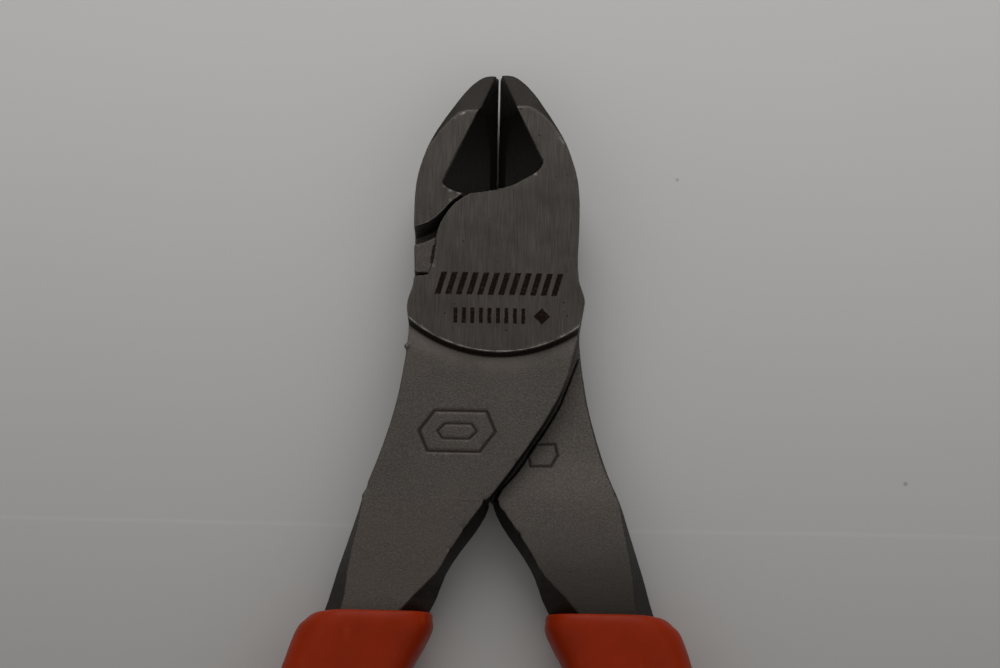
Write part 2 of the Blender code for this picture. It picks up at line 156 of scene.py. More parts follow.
# Colours, linear
STEEL = (0.126, 0.113, 0.103)
STEEL_DARK = (0.104, 0.093, 0.084)
GROUND_SHARE = 0.88  # how bright a ground face is beside a blasted one
JAW_SHADE_SHARE = 0.30  # the same for the hollow-ground recesses of the jaws, as painted shade
FACET_SHADE_BLEND = 0.82  # how far the painted shade on a tip facet goes towards that
SIDE_SHADE_SHARE = 0.38  # the same for the arms' steep sides, as painted shade
REAR_MOUTH_SHADE_SHARE = 0.42  # the same for the rear half at the grip's mouth, as painted shade
TARNISH = (0.136, 0.112, 0.096)  # a brown stain, growing down the arms
TARNISH_STARTS, TARNISH_FULL, TARNISH_SHARE = -24, -36, 0.5
PIT_SHARE, EDGE_HIGHLIGHT_SHARE, RECESS_SHADE_SHARE = 0.8, 0.5, 0.78  # how far each covers the steel; the second is a painted highlight on worn edges, the third painted shade in recesses
# bare steel on worn edges, made brighter still as painted highlight
WORN_EDGE_HIGHLIGHT = (0.50, 0.48, 0.45)
# the colour of etching and pits, also used for painted shade in recesses
ETCH_AND_SHADE = (0.022, 0.015, 0.011)
VINYL_WORN = (0.46, 0.085, 0.030)
VINYL = (0.36, 0.026, 0.0020)
FLOOR = (0.79, 0.787, 0.782)
FLOOR_NEAR, FLOOR_FAR, FLOOR_FALLOFF_SHADE = -95.0, 45.0, 0.55  # painted light falloff: the paper darkens towards the handles
# a fold across the paper, drawn as a painted highlight along its crease
FOLD_LOW_Y, FOLD_HIGH_Y, FOLD_SOFT = -29.5, -29.3, 0.25
VINYL_DUST = (0.75, 0.28, 0.2)

# Etched bars: start, pitch, count, width; then the row's lowest and highest y.
TOP_BARS, TOP_LOW_Y, TOP_HIGH_Y = (-5.7, 1.2, 12, 0.68), -4.3, -1.7
LOW_BARS, LOW_LOW_Y, LOW_HIGH_Y = (-4.7, 0.96, 9, 0.46), -7.6, -5.8
BAR_SLANT, BAR_SOFT = -0.28, 0.05
DIAMOND_X, DIAMOND_Y, DIAMOND_REACH, DIAMOND_SOFT = 5.3, -6.7, 0.9, 0.1


# ---------- meshes ----------

def add_object(name, mesh):
    item = bpy.data.objects.new(name, mesh)
    bpy.context.scene.collection.objects.link(item)
    return item


def evaluated_mesh(item):
    """The item's mesh as its modifiers leave it."""
    bpy.context.view_layer.update()
    graph = bpy.context.evaluated_depsgraph_get()
    return bpy.data.meshes.new_from_object(item.evaluated_get(graph))


def apply_modifiers(item):
    mesh = evaluated_mesh(item)
    item.modifiers.clear()
    item.data = mesh


def welded_copy(node):
    """The CAD node's mesh with the vertices that its flat shading splits joined again."""
    work = bmesh.new()
    work.from_mesh(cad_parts[node].data)
    bmesh.ops.remove_doubles(work, verts=work.verts, dist=WELD * MM)
    return work


def keep_side(work, y, keep_above):
    """Cuts a closed mesh at y, keeps one side of it and closes the cut."""
    bmesh.ops.bisect_plane(
        work,
        geom=work.verts[:] + work.edges[:] + work.faces[:],
        plane_co=(0, y * MM, 0),
        plane_no=(0, -1 if keep_above else 1, 0),
        clear_outer=True,
    )
    bmesh.ops.holes_fill(work, edges=[edge for edge in work.edges if edge.is_boundary])


def lattice_noise(points, cell, seed):
    """Smooth value noise from -1 to 1 at each point, on a lattice of that cell size."""
    scaled = points / cell
    base = np.floor(scaled).astype(np.int64)
    share = scaled - base
    share = share * share * (3 - 2 * share)
    total = np.zeros(len(points))
    for corner in itertools.product((0, 1), repeat=3):
        offset = np.array(corner)
        weight = np.prod(np.where(offset == 1, share, 1 - share), axis=1)
        key = ((base + offset) * HASH_AXES).sum(axis=1) + seed * HASH_SEED
        key = (key ^ (key >> 13)) * HASH_MIX & 0xFFFFFFFF
        total += weight * (((key >> 8) % 65536) / 32767.5 - 1)
    return total


def layered_noise(points, layers):
    return sum(height * lattice_noise(points, cell, seed) for height, cell, seed in layers)


def smooth_step(value, low, high):
    share = np.clip((value - low) / (high - low), 0, 1)
    return share * share * (3 - 2 * share)


def vertex_data(mesh):
    """Vertices and their normals, in millimetres and as arrays."""
    count = len(mesh.vertices)
    points = np.zeros(count * 3)
    mesh.vertices.foreach_get("co", points)
    normals = np.zeros(count * 3)
    mesh.vertex_normals.foreach_get("vector", normals)
    return points.reshape(-1, 3) / MM, normals.reshape(-1, 3)


def set_points(mesh, points):
    mesh.vertices.foreach_set("co", (points * MM).ravel())
    mesh.update()


def set_attribute(mesh, name, values):
    attribute = mesh.attributes.new(name, "FLOAT", "POINT")
    attribute.data.foreach_set("value", values.astype(np.float32))


def convexity(mesh, points, normals):
    """How far each vertex stands proud of its neighbours' middle, in millimetres."""
    edges = np.zeros(len(mesh.edges) * 2, np.int64)
    mesh.edges.foreach_get("vertices", edges)
    first, second = edges.reshape(-1, 2).T
    total = np.zeros_like(points)
    count = np.zeros(len(points))
    for here, there in ((first, second), (second, first)):
        np.add.at(total, here, points[there])
        np.add.at(count, here, 1)
    return ((points - total / count[:, None]) * normals).sum(axis=1)


# ---------- the two halves ----------

def segment_distance(points, start, end):
    """Distance in plan from each point to a straight line between two points."""
    start, end = np.array(start), np.array(end)
    along = end - start
    share = np.clip(((points[:, :2] - start) @ along) / (along @ along), 0, 1)
    return np.linalg.norm(points[:, :2] - start - share[:, None] * along, axis=1)


def polyline_distance(points, line):
    distance = np.full(len(points), 1e9)
    for start, end in zip(line, line[1:]):
        distance = np.minimum(distance, segment_distance(points, start, end))
    return distance


def badge_outline(centre, width, height, slant):
    """A slanted, elongated hexagon in plan, closed."""
    x, y = centre
    outline = []
    for across, up in ((-1, 0), (-0.68, 1), (0.68, 1), (1, 0), (0.68, -1), (-0.68, -1), (-1, 0)):
        outline.append((x + across * width / 2 + slant * up * height / 2, y + up * height / 2))
    return outline


def stamp(points, normals, outward, line, width, depth):
    """Presses a round-bottomed line into the face that looks outward."""
    distance = polyline_distance(points, line)
    facing = smooth_step(normals[:, 2] * outward, 0.7, 0.9)
    shape = 1 - smooth_step(distance, 0.25 * width, 0.75 * width)
    points[:, 2] -= outward * depth * shape * facing


def fine_half(node, body, side, marks, nicks):
    """A half with a rounded, grained surface. side is 1 for the front half and -1 for the rear one."""
    work = welded_copy(node)
    keep_side(work, CUT_Y, True)
    mesh = bpy.data.meshes.new(node + "_head")
    work.to_mesh(mesh)
    work.free()
    item = add_object(node + "_steel", mesh)
    remesh = item.modifiers.new("remesh", "REMESH")
    remesh.mode = "VOXEL"
    remesh.voxel_size = VOXEL * MM
    soften = item.modifiers.new("soften", "SMOOTH")
    soften.factor = SOFTEN_FACTOR
    soften.iterations = SOFTEN_PASSES
    apply_modifiers(item)

    points, normals = vertex_data(item.data)
    shape_forging(points, normals, ground_share(points, normals), side, marks, nicks)
    set_points(item.data, points)
    triangles = 2 * len(item.data.polygons)
    if triangles > MOST_TRIANGLES:
        thin = item.modifiers.new("thin", "DECIMATE")
        thin.ratio = MOST_TRIANGLES / triangles
        apply_modifiers(item)
    split_long_edges(item.data)

    mesh = item.data
    points, normals = vertex_data(mesh)
    proud = convexity(mesh, points, normals)
    convex_edge = smooth_step(proud, *EDGE_PROUD)
    # painted shade on the arms' steep sides, growing down the tool
    side_shade = 1 - smooth_step(np.abs(normals[:, 2]), *STEEP_NORMAL)
    set_attribute(mesh, "ground", ground_share(points, normals))
    # painted shade on the jaws' hollow-ground recesses and tip facets
    set_attribute(mesh, "jaw_shade", painted_jaw_shade(points, normals))
    for line, _, width, _ in marks:
        convex_edge *= smooth_step(polyline_distance(points, line), width, 1.5 * width)
    # worn convex edges, and the painted highlight along the boss's rim
    set_attribute(mesh, "edge", np.maximum(convex_edge, RIM_HIGHLIGHT_SHARE * rim_highlight(points, normals, side)))
    # painted shade in the step's foot, the stamped lines and on the stop tab
    set_attribute(mesh, "recess_shade", recess_shade(points, normals, side, marks))
    set_attribute(mesh, "side_shade", side_shade * smooth_step(-points[:, 1], *STEEP_DOWN))
    # painted highlight on the arm at the foot of the boss's step
    set_attribute(mesh, "fillet_highlight", fillet_highlight(points, normals, side))
    add_tang(item, node)
    shade_by_area(item)
    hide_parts(node)
    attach(item, body)
    return item


def shade_by_area(item):
    """Smooth shading in which the large flats keep their own normals."""
    item.data.shade_smooth()
    item.data.set_sharp_from_angle(angle=SHARP)
    weigh = item.modifiers.new("weigh", "WEIGHTED_NORMAL")
    weigh.mode = "FACE_AREA"
    weigh.weight = FLAT_WEIGHT
    weigh.keep_sharp = True
    apply_modifiers(item)


def split_long_edges(mesh):
    """Cuts long triangles up, so that a value held by their corners cannot smear over a flat face."""
    work = bmesh.new()
    work.from_mesh(mesh)
    for _ in range(SPLIT_PASSES):
        long_edges = [edge for edge in work.edges if edge.calc_length() > LONGEST_EDGE * MM]
        bmesh.ops.subdivide_edges(work, edges=long_edges, cuts=1)
        bmesh.ops.triangulate(work, faces=[face for face in work.faces if len(face.verts) > 3])
    work.to_mesh(mesh)
    work.free()


def ground_share(points, normals):
    """1 on the ground flats in the two outermost planes."""
    flat = smooth_step(np.abs(normals[:, 2]), 0.9, 0.98)
    return (1 - smooth_step(face_depth(points), GROUND_DEPTH, 2.5 * GROUND_DEPTH)) * flat


def face_depth(points):
    """How far each point lies below the nearer of the two outermost planes."""
    return MIDDLE - np.abs(points[:, 2] - MIDDLE)


def outer_arm_face(points, normals, side, least):
    """True on the arm and the boss's step, on the outer side, where the normal looks outward by least."""
    outer_side = (points[:, 2] - MIDDLE) * side > 0
    return (points[:, 1] < ARM_Y) & (normals[:, 2] * side > least) & outer_side


def fillet_highlight(points, normals, side):
    """Painted highlight: 1 on the arm just outside the boss's step, where its fillet catches the light.
    """
    from_highlight = (boss_distance(points, side) - FILLET_HIGHLIGHT_AT) / FILLET_HIGHLIGHT_REACH
    return np.exp(-(from_highlight ** 2)) * outer_arm_face(points, normals, side, FACING)


def painted_jaw_shade(points, normals):
    """Painted shade: 1 in the recesses beside the cutting edges, and a set share of that on the tip
    facets.
    """
    jaw = smooth_step(points[:, 1], *JAW_Y)
    below_face = smooth_step(face_depth(points), 0.08, 0.2)
    outward = smooth_step(np.abs(normals[:, 2]), 0.25, 0.4)
    to_edge = smooth_step(-np.sign(points[:, 0]) * normals[:, 0], -0.05, 0.15)
    return jaw * below_face * outward * (FACET_SHADE_BLEND + (1 - FACET_SHADE_BLEND) * to_edge)


def boss_distance(points, side):
    """How far each point lies outside the ground boss, in plan."""
    plan = points[:, :2] * np.array([side, 1])
    return np.linalg.norm(plan - np.array([BOSS_X, BOSS_Y]), axis=1) - BOSS_RADIUS


def recess_shade(points, normals, side, marks):
    """Painted shade: 1 in the foot of the boss's step and in the stamped lines, and less on the as-forged
    stop tab.
    """
    outer = outer_arm_face(points, normals, side, 0.1)
    from_boss = boss_distance(points, side)
    foot = smooth_step(from_boss, *STEP_FOOT_STARTS) * (1 - smooth_step(from_boss, *STEP_FOOT_ENDS))
    on_tab = (side * points[:, 0] < TAB_X) & (points[:, 1] > TAB_LOW_Y) & (points[:, 1] < TAB_HIGH_Y)
    low_face = (face_depth(points) > TAB_HIGHEST) & (face_depth(points) < TAB_LOWEST)
    dark = np.maximum(foot * outer, TAB_SHADE * (on_tab & low_face))
    for line, outward, width, _ in marks:
        facing = smooth_step(normals[:, 2] * outward, 0.5, 0.8)
        groove = 1 - smooth_step(polyline_distance(points, line), 0.2 * width, 0.5 * width)
        dark = np.maximum(dark, groove * facing)
    return dark


def rim_highlight(points, normals, side):
    """Painted highlight: 1 along the boss's rim, where the step's cut leaves a bright line."""
    from_boss = boss_distance(points, side)
    rim = 1 - smooth_step(np.abs(from_boss + RIM_IN), *RIM_WIDTH)
    outer_side = (points[:, 2] - MIDDLE) * side > 0
    return rim * (points[:, 1] < ARM_Y) * outer_side * (np.abs(normals[:, 2]) > 0.5)


def add_tang(item, node):
    """Joins the plain lower tang, which the grip hides."""
    work = welded_copy(node)
    keep_side(work, CUT_Y + TANG_OVERLAP, False)
    tang = bpy.data.meshes.new(node + "_tang")
    work.to_mesh(tang)
    work.clear()
    work.from_mesh(item.data)
    work.from_mesh(tang)
    work.to_mesh(item.data)
    work.free()
    bpy.data.meshes.remove(tang)


def shape_forging(points, normals, ground, side, marks, nicks):
    """Grain, the step's fillet, a ledge on the arm, stamped lines and nicks, as moves of the points."""
    forged = 1 - ground
    relief = layered_noise(points, GRAIN) + layered_noise(points, WAVES)
    points += normals * (forged * relief)[:, None]

    from_boss = boss_distance(points, side)
    outer_arm = (points[:, 1] < ARM_Y) & (normals[:, 2] * side > FACING) & (from_boss > 0)
    fillet = FILLET_RISE * np.exp(-from_boss[outer_arm] / FILLET_RUN)
    below_ledge = LEDGE_Y - points[outer_arm, 1]
    ledge = LEDGE_RISE * (below_ledge > 0) * (1 - smooth_step(below_ledge, 0, LEDGE_FADE))
    points[outer_arm, 2] += side * (fillet + ledge)

    for line, outward, width, depth in marks:
        stamp(points, normals, outward, line, width, depth)
    for x, y, z, reach, move in nicks:
        distance = np.linalg.norm(points - np.array([x, y, z]), axis=1)
        points += normals * (move * np.exp(-((distance / reach) ** 2)))[:, None]


def make_halves(steel):
    """Both halves. A mark is a line, its side, width and depth; a nick is x, y, z, reach and rise."""
    arm_badge = badge_outline((-4.0, -19.8), 8.6, 4.6, 0.16)
    arm_core = badge_outline((-4.0, -19.8), 4.4, 1.7, 0.16)
    crease = [(-7.02, 1.3), (-7.27, -0.6)]
    front_marks = [
        (arm_badge, 1, 0.32, 0.13),
        (arm_core, 1, 0.28, 0.10),
        (crease, 1, CREASE_WIDTH, CREASE_DEPTH),
    ]
    front_nicks = [
        (-10.0, -10.2, 9.2, 0.32, 0.34),
        (-14.2, -26.3, 8.4, 0.5, -0.22),
        (-3.0, -30.6, 8.4, 0.35, -0.2),
        (-4.6, -33.0, 8.3, 0.3, -0.18),
        (-0.5, -27.6, 8.6, 0.4, -0.2),
        (2.6, -23.2, 9.0, 0.35, -0.12),
    ]
    rear_badge = badge_outline((5.7, -21.9), 3.4, 2.6, 0.16)
    rear_marks = [
        (rear_badge, 1, 0.30, 0.12),
        ([(-x, y) for x, y in crease], -1, CREASE_WIDTH, CREASE_DEPTH),
    ]
    rear_nicks = [
        (2.9, -31.2, 7.6, 0.4, -0.25),
        (4.3, -33.6, 7.8, 0.3, -0.15),
        (1.2, -28.8, 7.4, 0.35, -0.18),
        (14.3, -26.3, 7.2, 0.5, -0.2),
    ]
    for node, body, side, marks, nicks in (
        ("front_half", "front_body", 1, front_marks, front_nicks),
        ("rear_half", "rear_body", -1, rear_marks, rear_nicks),
    ):
        item = fine_half(node, body, side, marks, nicks)
        item.data.materials.clear()
        item.data.materials.append(steel[node])


# ---------- rivet ----------

def make_rivet(steel):
    """The flush rivet, turned, with the fine rounding of a ground-off head."""
    shank, end, head_depth = 2.92, 9.1, 1.5
    # Radius and z, from the end inside the front half to the middle of the head.
    profile = [
        (0, end),
        (shank - 0.35, end),
        (shank - 0.1, end - 0.1),
        (shank, end - 0.35),
        (shank, head_depth),
        (RIVET_HEAD_RADIUS - 0.02, 0.09),
        (RIVET_HEAD_RADIUS - 0.06, 0.03),
        (RIVET_HEAD_RADIUS - 0.14, 0.005),
        (RIVET_HEAD_RADIUS - 0.5, 0.0),
        (1.2, 0.0),
        (0, 0.0),
    ]
    mesh = bpy.data.meshes.new("rivet")
    work = bmesh.new()
    ring = [work.verts.new((radius * MM, 0, z * MM)) for radius, z in profile]
    for first, second in zip(ring, ring[1:]):
        work.edges.new((first, second))
    work.to_mesh(mesh)
    work.free()
    item = add_object("pivot_rivet_turned", mesh)
    turn = item.modifiers.new("turn", "SCREW")
    turn.steps = RIVET_STEPS
    turn.render_steps = RIVET_STEPS
    turn.use_merge_vertices = True
    turn.merge_threshold = WELD * MM
    apply_modifiers(item)
    item.data.shade_smooth()
    item.data.set_sharp_from_angle(angle=RIVET_SHARP)
    item.data.materials.append(steel)
    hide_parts("pivot_rivet")
    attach(item, "front_body")


# ---------- grips ----------

def smooth_rows(rows, gap):
    """Rows no further apart than gap down the handle, on a Catmull-Rom curve through the given ones."""
    out = []
    for i in range(len(rows) - 1):
        before = np.array(rows[max(0, i - 1)])
        here, there = np.array(rows[i]), np.array(rows[i + 1])
        after = np.array(rows[min(len(rows) - 1, i + 2)])
        steps = max(2, math.ceil(abs(there[0] - here[0]) / gap))
        for step in range(steps):
            t = step / steps
            cubic = 3 * (here - there) + after - before
            square = 2 * before - 5 * here + 4 * there - after
            out.append(here + 0.5 * t * (there - before + t * (square + t * cubic)))
    out.append(np.array(rows[-1]))
    return out


def grip_ring(y, middle, width, thickness):
    angles = np.arange(GRIP_SIDES) * 2 * math.pi / GRIP_SIDES
    power = 2 / GRIP_SQUARENESS
    across = np.sign(np.cos(angles)) * np.abs(np.cos(angles)) ** power
    up = np.sign(np.sin(angles)) * np.abs(np.sin(angles)) ** power
    return np.stack([
        middle + across * width / 2,
        np.full(GRIP_SIDES, y),
        MIDDLE + up * thickness / 2,
    ], axis=1)


def lip_droop(ring):
    """Lets the mouth fall away towards the outer side of the handle."""
    y, middle = ring[0, 1], ring[:, 0].mean()
    near_mouth = 1 - smooth_step(np.array([-y]), 40.0, 46.0)[0]
    outward = smooth_step(middle - ring[:, 0], 2.5, 7.6)
    ring[:, 1] -= LIP_DROOP * near_mouth * outward ** 1.5
    return ring


def make_grip(name, node, body, mirrored, vinyl):
    """A dipped vinyl sleeve: outside, rolled lip and the start of its socket, closed on the tang."""
    rows = GRIP_LIP[:1] + smooth_rows(GRIP_LIP[1:] + GRIP_STATIONS, GRIP_RING_GAP)
    rings = [lip_droop(grip_ring(*row)) for row in rows]
    points = np.concatenate(rings)
    work = bmesh.new()
    verts = [work.verts.new(Vector(point) * MM) for point in points]
    loops = [verts[i:i + GRIP_SIDES] for i in range(0, len(verts), GRIP_SIDES)]
    for first, second in zip(loops, loops[1:]):
        for i in range(GRIP_SIDES):
            j = (i + 1) % GRIP_SIDES
            work.faces.new((first[i], second[i], second[j], first[j]))
    work.faces.new(loops[0])
    work.faces.new(reversed(loops[-1]))
    bmesh.ops.recalc_face_normals(work, faces=work.faces)
    mesh = bpy.data.meshes.new(name)
    work.to_mesh(mesh)
    work.free()
    points, normals = vertex_data(mesh)
    set_points(mesh, points + normals * layered_noise(points, SKIN)[:, None])
    if mirrored:
        turn_over = Matrix.Translation((0, 0, THICKNESS * MM)) @ Matrix.Rotation(math.pi, 4, "Y")
        mesh.transform(turn_over)
    mesh.shade_smooth()
    item = add_object(name, mesh)
    mesh.materials.append(vinyl)
    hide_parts(node)
    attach(item, body)


# ---------- materials ----------

def scaled(colour, share):
    return [c * share for c in colour]


class Shader:
    """A node material under construction, with short calls for the nodes that repeat."""

    def __init__(self, name, roughness, metallic):
        self.material = bpy.data.materials.new(name)
        self.material.use_nodes = True
        self.tree = self.material.node_tree
        self.surface = self.tree.nodes["Principled BSDF"]
        self.surface.inputs["Roughness"].default_value = roughness
        self.surface.inputs["Metallic"].default_value = metallic
        place = self.tree.nodes.new("ShaderNodeTexCoord")
        self.place = place.outputs["Object"]

    def node(self, kind, values, links=(), out=0):
        made = self.tree.nodes.new(kind)
        for key, value in values.items():
            if isinstance(key, str) and hasattr(made, key):
                setattr(made, key, value)
            else:
                made.inputs[key].default_value = value
        for key, source in dict(links).items():
            self.tree.links.new(source, made.inputs[key])
        return made.outputs[out]

    def math(self, operation, a, b=None, c=None):
        made = self.tree.nodes.new("ShaderNodeMath")
        made.operation = operation
        for i, value in enumerate((a, b, c)):
            if value is None:
                continue
            if isinstance(value, (int, float)):
                made.inputs[i].default_value = value
            else:
                self.tree.links.new(value, made.inputs[i])
        return made.outputs[0]

    def noise(self, scale, detail=2.0, stretch=(1, 1, 1), rough=0.5):
        """Noise from 0 to 1; scale is in cells to the millimetre."""
        moved = self.node(
            "ShaderNodeMapping",
            {"Scale": [s * scale / MM for s in stretch]},
            {"Vector": self.place},
        )
        return self.node(
            "ShaderNodeTexNoise",
            {"Scale": 1.0, "Detail": detail, "Roughness": rough},
            {"Vector": moved},
        )

    def ramp(self, value, low, high, to_low=0.0, to_high=1.0):
        """The value mapped from low..high onto to_low..to_high, clamped."""
        return self.node(
            "ShaderNodeMapRange",
            {"From Min": low, "From Max": high, "To Min": to_low, "To Max": to_high},
            {"Value": value},
        )

    def mix(self, share, a, b):
        """Colour a to colour b; each is a colour or a socket."""
        made = self.tree.nodes.new("ShaderNodeMix")
        made.data_type = "RGBA"
        for socket, value in ((made.inputs[0], share), (made.inputs[6], a), (made.inputs[7], b)):
            if isinstance(value, bpy.types.NodeSocket):
                self.tree.links.new(value, socket)
            elif isinstance(value, (int, float)):
                socket.default_value = value
            else:
                socket.default_value = (*value, 1)
        return made.outputs[2]

    def attribute(self, name):
        return self.node("ShaderNodeAttribute", {"attribute_name": name}, out=2)

    def axis(self, index):
        """One object coordinate, in millimetres."""
        split = self.node("ShaderNodeSeparateXYZ", {}, {0: self.place}, out=index)
        return self.math("MULTIPLY", split, 1 / MM)

    def bump(self, height, distance, strength=1.0):
        values = {"Distance": distance * MM, "Strength": strength}
        return self.node("ShaderNodeBump", values, {"Height": height})

    def set(self, key, source):
        self.tree.links.new(source, self.surface.inputs[key])


def between(shader, value, low, high, soft):
    """1 where value lies between low and high, with soft ends."""
    rise = shader.ramp(value, low - soft, low + soft)
    fall = shader.ramp(value, high - soft, high + soft, 1.0, 0.0)
    return shader.math("MULTIPLY", rise, fall)


def stripes(shader, value, start, pitch, count, width, soft):
    """1 on each of count bars of that width, a pitch apart from start."""
    along = shader.math("SUBTRACT", value, start)
    inside = between(shader, along, 0, pitch * (count - 1) + width, soft)
    never_negative = shader.math("ADD", along, 100 * pitch)
    wrapped = shader.math("MODULO", never_negative, pitch)
    bar = between(shader, wrapped, 0, width, soft)
    return shader.math("MULTIPLY", inside, bar)


def etched_marks(shader):
    """1 on two plain rows of bars and a diamond, etched on the front boss."""
    x, y = shader.axis(0), shader.axis(1)
    ragged = shader.math("MULTIPLY", shader.math("SUBTRACT", shader.noise(2.6, 3.0), 0.5), 0.16)
    x = shader.math("ADD", x, ragged)
    y = shader.math("ADD", y, ragged)
    slanted = shader.math("MULTIPLY_ADD", y, BAR_SLANT, x)
    top = shader.math(
        "MULTIPLY",
        stripes(shader, slanted, *TOP_BARS, BAR_SOFT),
        between(shader, y, TOP_LOW_Y, TOP_HIGH_Y, BAR_SOFT),
    )
    low = shader.math(
        "MULTIPLY",
        stripes(shader, x, *LOW_BARS, BAR_SOFT),
        between(shader, y, LOW_LOW_Y, LOW_HIGH_Y, BAR_SOFT),
    )
    from_x = shader.math("ABSOLUTE", shader.math("SUBTRACT", x, DIAMOND_X))
    from_y = shader.math("ABSOLUTE", shader.math("SUBTRACT", y, DIAMOND_Y))
    diamond = shader.math("ADD", from_x, from_y)
    diamond = shader.ramp(diamond, DIAMOND_REACH, DIAMOND_REACH + DIAMOND_SOFT, 1.0, 0.0)
    marks = shader.math("MAXIMUM", top, shader.math("MAXIMUM", low, diamond))
    worn = shader.ramp(shader.noise(3.0, 4.0), 0.30, 0.48, 0.72, 1.0)
    outer_face = shader.ramp(shader.axis(2), THICKNESS - 0.15, THICKNESS - 0.08)
    return shader.math("MULTIPLY", shader.math("MULTIPLY", marks, worn), outer_face)


def steel_material(name, etched):
    """Ground faces with fine lines down the tool, and a blasted finish everywhere else."""
    shader = Shader(name, 0.45, 1.0)
    ground = shader.attribute("ground")
    edge = shader.attribute("edge")
    blotch = shader.ramp(shader.noise(0.16, 4.0), 0.3, 0.7)
    lines = shader.noise(1.0, 4.0, (9.0, 0.35, 1.0), 0.6)
    grain = shader.noise(5.0, 3.0, rough=0.65)
    fine = shader.noise(11.0, 2.0)

    blasted = shader.mix(blotch, STEEL_DARK, STEEL)
    blasted = shader.mix(shader.ramp(grain, 0.42, 0.66, 0.0, 0.8), blasted, scaled(STEEL, 1.4))
    bright_line = scaled(STEEL, GROUND_SHARE)
    deep_line, high_line = scaled(bright_line, 0.66), scaled(bright_line, 1.12)
    brushed = shader.mix(shader.ramp(lines, 0.3, 0.7), deep_line, high_line)
    down_arm = shader.ramp(shader.axis(1), TARNISH_STARTS, TARNISH_FULL)
    tarnish = shader.math("MULTIPLY", down_arm, shader.ramp(blotch, 0, 1, 0.2, 0.9))
    blasted = shader.mix(shader.math("MULTIPLY", tarnish, TARNISH_SHARE), blasted, TARNISH)
    # painted highlight on the arm at the foot of the boss's step
    fillet_sheen = shader.math("MULTIPLY", shader.attribute("fillet_highlight"), shader.ramp(blotch, 0, 1, 0.25, 0.8))
    blasted = shader.mix(fillet_sheen, blasted, scaled(STEEL, 1.9))
    stained = shader.ramp(shader.noise(0.35, 5.0), 0.42, 0.7, 0.0, 0.45)
    brushed = shader.mix(stained, brushed, scaled(bright_line, 0.5))
    colour = shader.mix(ground, blasted, brushed)
    # painted shade on the jaws' hollow-ground recesses and tip facets
    colour = shader.mix(shader.attribute("jaw_shade"), colour, scaled(STEEL, JAW_SHADE_SHARE))
    # painted shade on the arms' steep sides
    colour = shader.mix(shader.attribute("side_shade"), colour, scaled(STEEL, SIDE_SHADE_SHARE))

    speck = shader.node("ShaderNodeTexVoronoi", {"Scale": 0.95 / MM}, {"Vector": shader.place})
    near = shader.ramp(speck, 0.06, 0.16, 1.0, 0.0)
    rare = shader.ramp(shader.noise(0.3, 3.0), 0.50, 0.58)
    pits = shader.math("MULTIPLY", near, rare)
    pits = shader.math("MULTIPLY", pits, shader.ramp(ground, 0, 1, 0.12, 1.0))
    colour = shader.mix(shader.math("MULTIPLY", pits, PIT_SHARE), colour, ETCH_AND_SHADE)

    # worn edges in bare steel, brightened further as painted highlight
    chipped = shader.ramp(shader.noise(0.8, 4.0), 0.35, 0.6)
    edge_wear_and_highlight = shader.math("MULTIPLY", edge, chipped)
    colour = shader.mix(shader.math("MULTIPLY", edge_wear_and_highlight, EDGE_HIGHLIGHT_SHARE), colour, WORN_EDGE_HIGHLIGHT)
    # painted shade in the step's foot, the stamped lines and on the stop tab
    dark = shader.math("MULTIPLY", shader.attribute("recess_shade"), RECESS_SHADE_SHARE)
    colour = shader.mix(dark, colour, ETCH_AND_SHADE)
    if not etched:
        # painted shade on the rear half towards the grip's mouth
        mouth = shader.ramp(shader.axis(1), -40, -25, 1, 0)
        colour = shader.mix(mouth, colour, scaled(STEEL, REAR_MOUTH_SHADE_SHARE))
    rough = shader.ramp(ground, 0, 1, 0.58, 0.44)
    rough = shader.math("ADD", rough, shader.ramp(lines, 0.2, 0.8, -0.05, 0.05))
    if etched:
        marks = etched_marks(shader)
        colour = shader.mix(marks, colour, ETCH_AND_SHADE)
        rough = shader.math("MULTIPLY_ADD", marks, 0.3, rough)
    shader.set("Base Color", colour)
    shader.set("Roughness", rough)

    cut_lines = shader.math("MULTIPLY", lines, ground)
    not_ground = shader.math("SUBTRACT", 1.0, ground)
    shot = shader.math("MULTIPLY", shader.math("ADD", grain, fine), not_ground)
    height = shader.math("MULTIPLY_ADD", cut_lines, 0.35, shot)
    height = shader.math("MULTIPLY_ADD", pits, -0.3, height)
    shader.set("Normal", shader.bump(height, 0.05, 0.8))
    return shader.material


def rivet_material():
    """Ground steel with faint turned rings."""
    shader = Shader("rivet_steel", 0.4, 1.0)
    x, y = shader.axis(0), shader.axis(1)
    squares = shader.math("ADD", shader.math("POWER", x, 2), shader.math("POWER", y, 2))
    radius = shader.math("SQRT", squares)
    rings = shader.math("SINE", shader.math("MULTIPLY", radius, 38))
    blotch = shader.noise(0.4, 4.0)
    colour = shader.mix(blotch, scaled(STEEL, 0.85), scaled(STEEL, 1.5))
    shader.set("Base Color", colour)
    shader.set("Roughness", shader.ramp(blotch, 0.3, 0.7, 0.34, 0.46))
    height = shader.math("ADD", shader.math("MULTIPLY", rings, 0.3), shader.noise(6.0, 3.0))
    shader.set("Normal", shader.bump(height, 0.006))
    return shader.material


